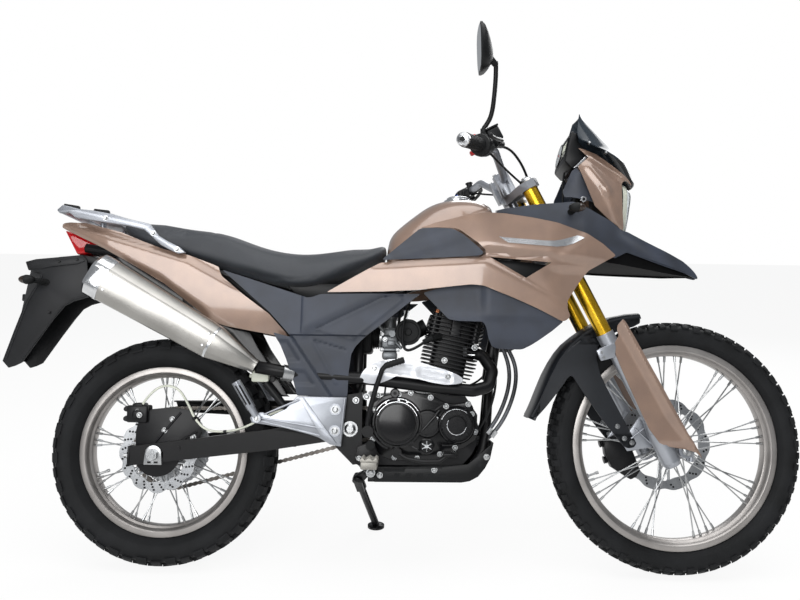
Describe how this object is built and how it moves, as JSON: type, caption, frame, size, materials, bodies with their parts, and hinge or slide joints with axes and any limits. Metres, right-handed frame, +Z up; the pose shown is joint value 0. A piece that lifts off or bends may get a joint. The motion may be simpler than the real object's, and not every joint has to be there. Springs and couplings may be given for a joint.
{
  "type": "dual sport motorcycle",
  "caption": "Road and trail motorcycle leaning on its side stand, with raised beak, long seat, wire wheels, single-cylinder engine and upswept silencer.",
  "frame": {"origin": "on the ground, under the middle of the bounding box", "axes": "+X forwards, +Y to the rider's left, the side it leans to, +Z up"},
  "size_m": [2.2035, 0.8176, 1.4523],
  "materials": {
    "tyre_rubber": "moulded rubber",
    "rim_alloy": "anodised",
    "spoke_steel": "zinc plated",
    "disc_steel": "ground",
    "frame_black": "satin powder coat",
    "zinc_steel": "zinc plated",
    "chain_steel": "oiled",
    "black_plastic": "moulded",
    "shock_red": "powder coat",
    "cast_black": "black painted casting",
    "engine_black": "black painted casting",
    "engine_gloss": "gloss black paint",
    "cast_grey": "raw casting",
    "pipe_black": "heat-resistant black",
    "silver_paint": "silver lacquer",
    "stainless": "brushed stainless",
    "bronze_paint": "metallic gloss",
    "dark_plastic": "textured",
    "seat_vinyl": "grained vinyl over foam",
    "red_lens": "clear red",
    "clear_lens": "clear",
    "smoke_screen": "smoked polycarbonate",
    "amber_lens": "amber lens",
    "gold_anodised": "gold anodised",
    "bar_black": "black paint",
    "grip_rubber": "ribbed"
  },
  "bodies": {
    "chassis": {"frame": "frame_black", "swingarm": "frame_black", "rear_axle": "zinc_steel", "chain": "chain_steel", "chain_guard": "black_plastic", "shock_absorber": "shock_red", "rear_brake": "cast_black", "engine_case": "engine_black", "engine_covers": "engine_gloss", "cylinder": "engine_black", "carburettor": "cast_grey", "exhaust_pipe": "pipe_black", "pipe_shield": "silver_paint", "silencer": "stainless", "skid_plate": "black_plastic", "fuel_tank": "bronze_paint", "seat": "seat_vinyl", "tail_panels": "bronze_paint", "side_panels": "dark_plastic", "upper_shrouds": "bronze_paint", "lower_shrouds": "dark_plastic", "tank_pads": "dark_plastic", "grab_rail": "silver_paint", "inner_mudguard": "black_plastic", "tail_fender": "black_plastic", "tail_light": "red_lens", "headlight_cowl": "bronze_paint", "headlight": "clear_lens", "windscreen": "smoke_screen", "beak": "dark_plastic", "indicators": "amber_lens", "instruments": "black_plastic", "foot_brackets": "silver_paint", "foot_controls": "cast_black"},
    "steering": {"triple_clamps": "silver_paint", "fork_tubes": "gold_anodised", "fork_legs": "silver_paint", "fork_guards": "bronze_paint", "front_mudguard": "black_plastic", "front_axle": "zinc_steel", "front_caliper": "cast_black", "handlebar": "bar_black", "grips": "grip_rubber", "hand_controls": "cast_black", "mirror": "black_plastic"},
    "front_wheel": {"front_tyre": "tyre_rubber", "front_rim": "rim_alloy", "front_hub": "spoke_steel", "front_disc": "disc_steel"},
    "rear_wheel": {"rear_tyre": "tyre_rubber", "rear_rim": "rim_alloy", "rear_hub": "spoke_steel", "rear_disc": "disc_steel", "rear_sprocket": "disc_steel"},
    "side_stand": {"side_stand": "frame_black"}
  },
  "joints": [
    {"name": "steering", "type": "hinge", "parent": "chassis", "child": "steering", "pos_m": [0.31325, -0.01311, 1.00952], "axis": [-0.454, 0.1853, 0.8715], "range_deg": [-40, 40]},
    {"name": "front_wheel_spin", "type": "hinge", "parent": "steering", "child": "front_wheel", "pos_m": [0.75625, -0.15512, 0.34144], "axis": [0, 0.9781, -0.2079], "continuous": true},
    {"name": "rear_wheel_spin", "type": "hinge", "parent": "chassis", "child": "rear_wheel", "pos_m": [-0.65375, -0.16219, 0.30819], "axis": [0, 0.9781, -0.2079], "continuous": true},
    {"name": "side_stand_fold", "type": "hinge", "parent": "chassis", "child": "side_stand", "pos_m": [-0.12375, -0.06073, 0.1987], "axis": [0.2122, 0.8168, 0.5365], "range_deg": [0, 98]}
  ]
}
